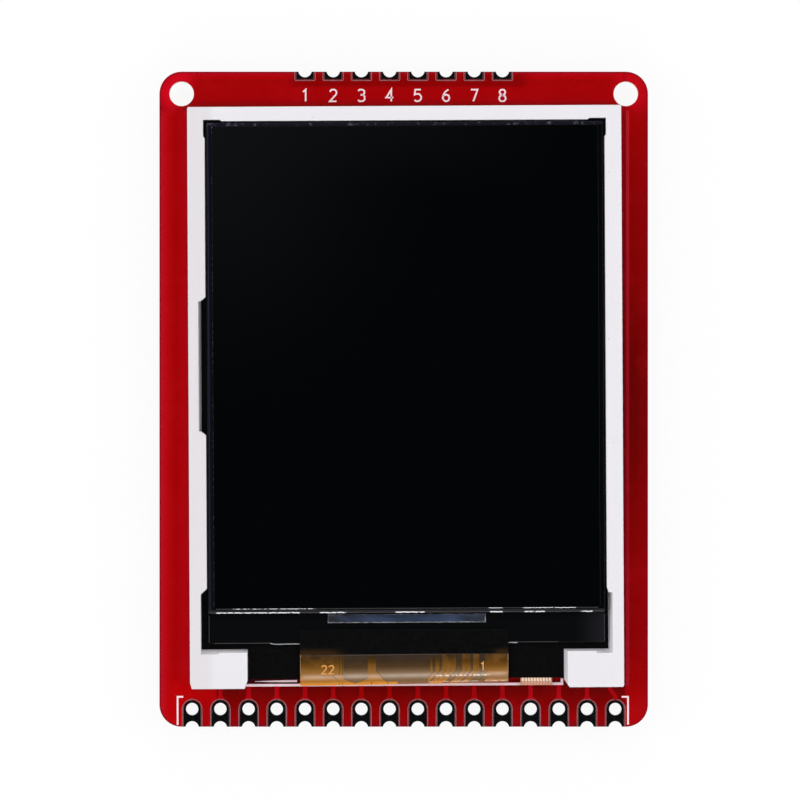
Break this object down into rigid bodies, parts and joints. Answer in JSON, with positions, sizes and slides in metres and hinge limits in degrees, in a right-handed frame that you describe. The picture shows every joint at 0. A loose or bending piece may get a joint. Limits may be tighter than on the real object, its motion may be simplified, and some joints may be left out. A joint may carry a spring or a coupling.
{
  "type": "tft display module",
  "caption": "Small colour TFT display in a white backlight frame on a red carrier board with a header row, castellated edges and a card socket behind.",
  "frame": {"origin": "centre of the carrier board, on the plane on which the parts of its back rest", "axes": "+Z out of the display's face, +Y towards the short castellated row, +X to the right seen from the front"},
  "size_m": [0.044, 0.059, 0.0058],
  "materials": {
    "board_red": "red solder mask over copper",
    "plated_land": "tinned copper",
    "foam_tape": "matte foam",
    "frame_white": "moulded, fine texture",
    "film_white": "satin film",
    "guide_clear": "clear acrylic",
    "film_prism": "fine ribs",
    "flex_amber": "polyimide over copper",
    "lamp_body": "moulded with phosphor window",
    "tape_black": "matte film",
    "polarizer_dark": "smooth film",
    "cell_glass": "polished, dark inside",
    "driver_silicon": "polished silicon",
    "socket_black": "moulded",
    "shell_steel": "drawn stainless sheet",
    "contact_gold": "gold plated",
    "chip_black": "epoxy",
    "lead_tin": "matte tin",
    "capacitor_tan": "fired ceramic",
    "resistor_black": "glass coat on alumina"
  },
  "bodies": {
    "root": {"circuit_board": "board_red", "header_pads": "plated_land", "edge_pads": "plated_land", "flex_pads": "plated_land", "mounting_tape": "foam_tape", "backlight_frame": "frame_white", "reflector_sheet": "film_white", "light_guide": "guide_clear", "diffuser_sheet": "film_white", "lower_prism_sheet": "film_prism", "upper_prism_sheet": "film_prism", "lamp_flex": "flex_amber", "backlight_lamps": "lamp_body", "rim_tape": "tape_black", "rear_polarizer": "polarizer_dark", "array_glass": "cell_glass", "filter_glass": "cell_glass", "front_polarizer": "polarizer_dark", "driver_chip": "driver_silicon", "display_flex": "flex_amber", "flex_cover": "tape_black", "socket_base": "socket_black", "socket_shell": "shell_steel", "socket_contacts": "contact_gold", "shifter_bodies": "chip_black", "shifter_leads": "lead_tin", "regulator_body": "chip_black", "regulator_leads": "lead_tin", "transistor_body": "chip_black", "transistor_leads": "lead_tin", "capacitor_bodies": "capacitor_tan", "capacitor_ends": "lead_tin", "resistor_bodies": "resistor_black", "resistor_ends": "lead_tin", "array_bodies": "resistor_black", "array_ends": "lead_tin"}
  },
  "joints": []
}
